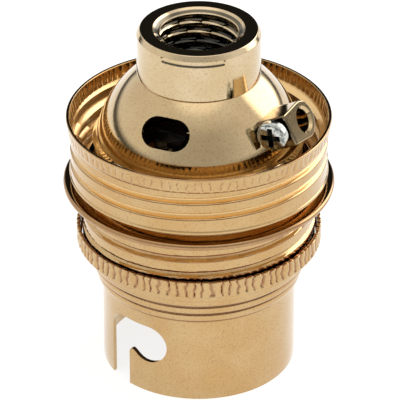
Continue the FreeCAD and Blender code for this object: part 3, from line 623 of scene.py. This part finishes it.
class Finish:
    """The nodes of a material or of the world, with one method that adds any of them."""

    def __init__(self, owner):
        owner.use_nodes = True
        self.owner = owner
        self.tree = owner.node_tree
        self.tree.nodes.clear()

    def node(self, kind, settings=None, sockets=None, out=0):
        """Add a node: settings first, then each socket's value or link. Returns one output."""
        made = self.tree.nodes.new(kind)
        for key, setting in (settings or {}).items():
            setattr(made, key, setting)
        for key, entry in (sockets or {}).items():
            if isinstance(entry, Value):
                self.tree.links.new(entry.socket, made.inputs[key])
            else:
                made.inputs[key].default_value = entry
        return Value(self, made.outputs[out]) if made.outputs else None

    def blend(self, share, first, second):
        """A colour between two others."""
        return self.node("ShaderNodeMix", {"data_type": "RGBA"}, {0: share, 6: first, 7: second}, out=2)

    def place(self):
        """Where a point is on the object, in metres, carried with the piece."""
        return self.node("ShaderNodeTexCoord", out=3)

    def split(self, where):
        """A place's or a direction's three numbers: east, north and up."""
        return [self.node("ShaderNodeSeparateXYZ", {}, {0: where}, out=index) for index in range(3)]

    def along(self, where):
        """Distance from the axis and height, in millimetres."""
        east, north, up = [part * (1 / MM) for part in self.split(where)]
        return (east * east + north * north) ** 0.5, up

    def turn(self, where):
        """Turn round the axis from the front, in radians."""
        east, north = self.split(where)[:2]
        return self.node("ShaderNodeMath", {"operation": "ARCTAN2"}, {0: east, 1: 0.0 - north})

    def ramp(self, value, low, high):
        """0 below low, 1 above high, and an easy curve between."""
        return self.node("ShaderNodeMapRange", {"interpolation_type": "SMOOTHSTEP"},
                         {"Value": value, "From Min": low, "From Max": high})

    def noise(self, where, scale, detail=2.0, rough=0.5):
        """A cloudy pattern from 0 to 1."""
        return self.node("ShaderNodeTexNoise", {}, {"Vector": where, "Scale": scale, "Detail": detail,
                                                    "Roughness": rough})

    def bump(self, height, strength, depth=0.02 * MM):
        """A fine relief that turns the light without moving the wall."""
        return self.node("ShaderNodeBump", {}, {"Strength": strength, "Distance": depth, "Height": height})

    def ends_in(self, sockets):
        """Close a material with its surface, and return the material."""
        surface = self.node("ShaderNodeBsdfPrincipled", {}, sockets)
        self.node("ShaderNodeOutputMaterial", {}, {"Surface": surface})
        return self.owner


print("helpers ready: Value, Finish")

# %% [markdown]
# ## Polished brass
# Brass is a mirror with a warm tint, so the metal takes its look from the studio round it.
# A fine grain in the polish breaks up the reflections, and faint cloudy patches of lacquer and
# handling change the tint and the gloss. A thin clear coat stands for the lacquer.
# Painted shade darkens the thread grooves, the undersides of the rolled steps and the flange's folded edge,
# and the flutes between ribs are darker too.
# It could be painted on, but a painting has to be unwrapped onto each wall. A sum finds the same places
# from the sizes that made the wall, and it stays on the piece when the piece moves.

# %% Brass that has been polished and lacquered
RAW = (0.88, 0.60, 0.27, 1)
BRIGHT = (0.575, 0.390, 0.180, 1)
WARM = (0.545, 0.340, 0.135, 1)
PALE = (0.600, 0.455, 0.250, 1)
PALE_WARM = (0.560, 0.405, 0.205, 1)
PALEST = (0.660, 0.520, 0.330, 1)
# Dark red-brown: fine specks and old polish, and painted shade in the grooves, under the rolled steps and on
# the flange's edge.
POLISH_AND_SHADE = (0.20, 0.045, 0.012, 1)
# Near-black for painted shade in the nozzle's bore and under its flat, and on the earth block's front end
# behind the screw's head.
SHADE_BLACK = (0.012, 0.014, 0.010, 1)


def brass(name, bright, warm, polish_and_shade=None, stain_and_shade=POLISH_AND_SHADE, unpolished=None, gloss=0.045, grain=0.25):
    """Brass between two tints, with its roughness and grain, a darkening mask of old polish and painted shade
    in its own colour, and what is dull.
    """
    finish = Finish(bpy.data.materials.new(name))
    where = finish.place()
    cloud = finish.noise(where, 240.0, 3.0)
    fine = finish.noise(where, 5200.0, 3.0, 0.6)
    specks = finish.ramp(finish.noise(where, 4600.0, 2.0), 0.46, 0.78)
    tint = finish.blend(0.3 * specks, finish.blend(finish.ramp(cloud, 0.3, 0.7), bright, warm), POLISH_AND_SHADE)
    if polish_and_shade is not None:
        tint = finish.blend(polish_and_shade(finish, where), tint, stain_and_shade)
    rough = gloss + 0.05 * cloud
    if unpolished is not None:
        bare = unpolished(finish, where)
        rough = rough + 0.34 * bare
        tint = finish.blend(bare, tint, RAW)
    return finish.ends_in({
        "Base Color": tint, "Metallic": 1.0, "Roughness": rough, "Normal": finish.bump(fine, grain),
        "Coat Weight": 0.6, "Coat Roughness": 0.05})


def dress(piece, material):
    """Give a piece this finish and no other."""
    piece.data.materials.clear()
    piece.data.materials.append(material)


def polish(piece, bright, warm, *stains_and_shade):
    """Give a piece its own polished brass."""
    material = brass(piece.name + "_finish", bright, warm, *stains_and_shade)
    dress(piece, material)
    print(material.name, "has", len(material.node_tree.nodes), "nodes")


print("helpers ready: brass, dress, polish")

# %% Polish the shell
def thread_lines(finish, up, turn, start, pitch):
    """Painted shade as two fine lines in a climbing groove: a strong one under its upper edge, a weak one low
    down.
    """
    phase = (up - start) * (math.tau / pitch) - turn
    high = finish.node("ShaderNodeMath", {"operation": "COSINE"}, {0: phase - 0.05 * math.tau})
    low = finish.node("ShaderNodeMath", {"operation": "COSINE"}, {0: phase + 0.24 * math.tau})
    return finish.ramp(high, 0.86, 0.95) + 0.7 * finish.ramp(low, 0.975, 0.998)


def shell_painted_shade(finish, where):
    """Painted shade in the thread's grooves, under each rolled step and on the flange's folded edge, in
    patches.
    """
    radius, up = finish.along(where)
    patchy = 0.4 + 0.6 * finish.noise(where, 420.0)
    groove = thread_lines(finish, up, finish.turn(where), SHELL_THREAD, THREAD_PITCH)
    groove = groove * finish.ramp(up, 17.9, 18.4) * (1.0 - finish.ramp(up, 23.2, 23.5))
    step = finish.node("ShaderNodeMath", {"operation": "FRACT"}, {0: (up - STEP_FOOT) / STEP_RISE})
    under = finish.ramp(step, 0.62, 0.8) * finish.ramp(up, 10.7, 10.8) * (1.0 - finish.ramp(up, 15.2, 15.3))
    return patchy * (1.1 * groove + 0.85 * under + 0.6 * finish.ramp(radius, 15.8, 16.1))


polish(shell, BRIGHT, WARM, shell_painted_shade)

# %% Polish the rings
def lower_flute_darkening(finish, where):
    """The flutes of the coarse ribs are darkened, in patches."""
    radius, up = finish.along(where)
    flutes = (1.0 - finish.ramp(radius, 14.62, 14.76)) * finish.ramp(up, 16.4, 16.6)
    return 0.85 * flutes * (0.4 + 0.6 * finish.noise(where, 900.0))


def upper_shade_and_flutes(finish, where):
    """Painted shade lies in the rolled thread, and the flutes between the fine ribs are darkened."""
    radius, up = finish.along(where)
    patchy = 0.35 + 0.65 * finish.noise(where, 500.0)
    rim = finish.ramp(up, RIM_FOOT, RIM_FOOT + 0.1)
    groove = thread_lines(finish, up, finish.turn(where), RING_THREAD, RING_PITCH)
    groove = groove * finish.ramp(up, 26.6, 27.0) * (1.0 - rim) * finish.ramp(radius, 14.9, 15.0)
    flare = (RIM_LIP_RADIUS - RIM_FOOT_RADIUS) / (RIM_LIP - RIM_FOOT)
    upright = radius - flare * (up - RIM_FOOT)
    flutes = rim * (1.0 - finish.ramp(upright, 15.50, 15.56)) * finish.ramp(upright, 15.3, 15.4)
    return patchy * (1.1 * groove + 0.9 * flutes)


def ring_inside(finish, where):
    """1 on the upper ring's inside wall, which the buffing wheel never reaches."""
    radius, up = finish.along(where)
    return 1.0 - finish.ramp(radius - 0.17 * finish.ramp(up, 31.0, 33.0), 15.0, 15.25)


polish(lower_ring, BRIGHT, WARM, lower_flute_darkening)
polish(upper_ring, BRIGHT, WARM, upper_shade_and_flutes, POLISH_AND_SHADE, ring_inside)

# %% Polish the cap and its nozzle
def plain_polish(finish, where):
    """A little old polish in cloudy patches."""
    return 0.15 * finish.ramp(finish.noise(where, 150.0), 0.5, 0.8)


def nozzle_painted_shade(finish, where):
    """Painted shade: the bore is dark below its first threads and in their grooves, and so is the ledge under
    the flat.
    """
    radius, up = finish.along(where)
    inside = 1.0 - finish.ramp(radius, 5.1, 5.2)
    turn = finish.turn(where) * math.degrees(1)
    across = finish.ramp(turn, *FLAT_STARTS) * (1.0 - finish.ramp(turn, *FLAT_ENDS))
    ledge = across * finish.ramp(up, 43.02, 43.1) * (1.0 - finish.ramp(up, 43.2, 43.26)) * (1.0 - inside)
    deep = 0.95 * (1.0 - finish.ramp(up, 40.2, 42.0)) + 0.85 * finish.ramp(radius, 4.7, 4.85)
    return inside * deep + 0.9 * ledge


polish(cap, PALE, PALE_WARM, plain_polish)
polish(nozzle, PALEST, PALE, nozzle_painted_shade, SHADE_BLACK)

# %% Polish the earth block
def along_block(finish, where):
    """Distance along the earth block from its wire hole, towards the screw's head, in millimetres."""
    east, north = finish.split(where)[:2]
    turn = math.radians(BLOCK_TURN)
    return (east * math.cos(turn) + north * math.sin(turn)) * (-1 / MM)


def block_painted_shadow(finish, where):
    """Painted shadow on the front end, behind the screw's head, in patches."""
    patchy = 0.5 + 0.5 * finish.noise(where, 900.0)
    return 0.95 * patchy * finish.ramp(along_block(finish, where), 3.1, 3.6)


polish(block, PALE, PALE_WARM, block_painted_shadow, SHADE_BLACK)

# %% [markdown]
# ## The plainer finishes
# The terminals are turned brass, duller than the shell, the screws are nickel plated, the springs are drawn
# wire, the insulator is a dark moulding, and the washers are pressed fibre. The pieces that keep their
# construction shape need no finer skin, so each one's slot in the frame's record picks its finish.

# %% Finishes for the carried pieces
# Near-black for painted shade in the earth screw's cross and for grime in blotches on its head.
GRIME_AND_SHADE = (0.012, 0.016, 0.014, 1)


def plated(name, tone, gloss, grime_and_shade=None):
    """Nickel plate or bare wire: a grey mirror with a fine grain, and grime and painted shade where a mask
    puts them.
    """
    finish = Finish(bpy.data.materials.new(name))
    where = finish.place()
    cloud = finish.noise(where, 900.0, 3.0)
    dark = tuple(0.8 * channel for channel in tone[:3]) + (1,)
    tint = finish.blend(cloud, tone, dark)
    if grime_and_shade is not None:
        tint = finish.blend(grime_and_shade(finish, where), tint, GRIME_AND_SHADE)
    return finish.ends_in({
        "Base Color": tint, "Metallic": 1.0, "Roughness": gloss + 0.1 * cloud,
        "Normal": finish.bump(cloud, 0.3)})


def from_screw(finish, where):
    """Distance out from the earth screw's own axis, in millimetres."""
    axis = on_terminal.to_3x3() @ Vector((1, 0, 0))
    point = on_terminal @ Vector((0, SCREW_SIDE * MM, SCREW_OUT * MM))
    apart = finish.node("ShaderNodeVectorMath", {"operation": "SUBTRACT"}, {0: where, 1: point})
    square = finish.node("ShaderNodeVectorMath", {"operation": "CROSS_PRODUCT"}, {0: apart, 1: axis})
    return finish.node("ShaderNodeVectorMath", {"operation": "LENGTH"}, {0: square}, out=1) * (1 / MM)


def head_grime_and_shade(finish, where):
    """Painted shade fills the cross, and grime lies in blotches on the head."""
    along, apart = along_block(finish, where), from_screw(finish, where)
    deep = (1.0 - finish.ramp(along, 5.2, 5.42)) * (1.0 - finish.ramp(apart, 1.28, 1.36))
    blotch = finish.ramp(finish.noise(where, 1500.0, 4.0, 0.7), 0.50, 0.60)
    return 0.98 * deep + 0.65 * blotch * (1.0 - deep)


def moulded(name, tone, deep, gloss):
    """A moulded or pressed insulating material."""
    finish = Finish(bpy.data.materials.new(name))
    where = finish.place()
    cloud = finish.noise(where, 700.0, 4.0)
    return finish.ends_in({
        "Base Color": finish.blend(cloud, tone, deep), "Roughness": gloss + 0.15 * cloud,
        "Normal": finish.bump(cloud, 0.4, 0.05 * MM)})


turned_tint, turned_warm = (0.66, 0.47, 0.24, 1), (0.58, 0.38, 0.18, 1)
finishes = {
    "turned_brass": brass("turned_brass_finish", turned_tint, turned_warm, gloss=0.18, grain=0.5),
    "polished_brass": brass("plain_brass_finish", BRIGHT, WARM, gloss=0.08, grain=0.3),
    "plated_screw": plated("nickel_finish", (0.80, 0.78, 0.74, 1), 0.16),
    "spring_steel": plated("wire_finish", (0.60, 0.60, 0.61, 1), 0.25),
    "moulded_insulator": moulded("moulded_finish", (0.035, 0.022, 0.015, 1), (0.06, 0.035, 0.022, 1), 0.3),
    "fibre_washer": moulded("fibre_finish", (0.35, 0.20, 0.12, 1), (0.24, 0.13, 0.08, 1), 0.7),
}
dress(earth_screw, plated("earth_screw_finish", (0.66, 0.68, 0.64, 1), 0.1, head_grime_and_shade))
for coil in coils:
    dress(coil, finishes["spring_steel"])
for part in frame["record"]["subparts"]:
    dress(frame["nodes"][part["node"]], finishes[part["material_slot"]])
print("finishes", sorted(finishes))

# %% [markdown]
# ## The studio
# Polished metal shows the room, so the room is drawn with care. A pale sheet, lit from beneath like a
# light table, runs under the holder: upright walls mirror it, and it has no hard shadow.
# Above it the room is bright, a little dimmer in front, with a soft window at the right and behind.
# A dark card stands behind, so level faces turn nearly black, and a narrow dark horizon
# puts a fine dark line on every rounded edge. Lamps with hard borders could do the same, but a room
# drawn in sums has soft borders everywhere, and those are what a polished dome shows.
# Colours are shown just as they are worked out, so that a white sheet stays white.

# %% The floor
FLOOR = 6.0
corners = [(east * FLOOR / 2, north * FLOOR / 2, 0) for east, north in ((-1, -1), (1, -1), (1, 1), (-1, 1))]
floor = piece_from("floor", corners, [(0, 1, 2, 3)])
paper = Finish(bpy.data.materials.new("floor_paper"))
paper_tint = paper.blend(paper.noise(paper.place(), 40.0), (0.30, 0.30, 0.30, 1), (0.28, 0.28, 0.28, 1))
dress(floor, paper.ends_in({
    "Base Color": paper_tint, "Roughness": 0.9, "Emission Color": (1.0, 0.995, 0.98, 1),
    "Emission Strength": 0.84}))
print("floor size in metres", list(floor.dimensions))

# %% The room
WINDOW = (0.742, 0.520, 0.423)
room = Finish(bpy.data.worlds.new("studio"))
bpy.context.scene.world = room.owner
east, north, up = room.split(room.node("ShaderNodeTexCoord", out=0))
level = (east * east + north * north) ** 0.5
back = north / (level + 0.001)
card = room.ramp(back, 0.82, 0.96) * room.ramp(up, 0.05, 0.16) * (1.0 - room.ramp(up, 0.66, 0.84))
ahead = room.ramp(0.0 - back, 0.25, 1.0) * (1.0 - room.ramp(up, 0.6, 0.95))
window = room.ramp(WINDOW[0] * east + WINDOW[1] * north + WINDOW[2] * up, 0.86, 0.96)
overhead = room.ramp(up, 0.86, 0.98)
horizon = 1.0 - room.ramp(up, 0.04, 0.16)
light = (1.0 - 0.38 * ahead + 0.5 * overhead + 2.6 * window) * (1.0 - 0.985 * card) * (1.0 - 0.9 * horizon)
shade = room.node("ShaderNodeVectorMath", {"operation": "SCALE"}, {0: (1.0, 0.99, 0.97), "Scale": light})
room.node("ShaderNodeOutputWorld", {}, {"Surface": room.node("ShaderNodeBackground", {}, {"Color": shade})})
bpy.context.scene.view_settings.view_transform = "Standard"
print("room drawn with", len(room.tree.nodes), "nodes")

# %% [markdown]
# ## The camera
# A long lens, two fifths of a metre away, looks down on the holder and keeps the rings' ellipses nearly
# parallel. A wide lens close by would frame it as well, but it would swell the nearest ring.
# A slight shift of the lens settles the holder in the frame without turning the camera.

# %% Long-lens camera
TILT = math.radians(30.68)
DISTANCE = 0.4027
AIM_HEIGHT = 0.022
lens = bpy.data.cameras.new("long_lens")
lens.sensor_width = 36.0
lens.lens = 301.032
lens.shift_x = 0.00285
lens.shift_y = -0.017925
lens.clip_start = 0.01
camera = bpy.data.objects.new("camera", lens)
camera.location = (0, -DISTANCE * math.cos(TILT), AIM_HEIGHT + DISTANCE * math.sin(TILT))
camera.rotation_euler = (math.pi / 2 - TILT, 0, 0)
bpy.context.scene.collection.objects.link(camera)
bpy.context.scene.camera = camera
print("field of view in degrees", round(math.degrees(lens.angle), 2))
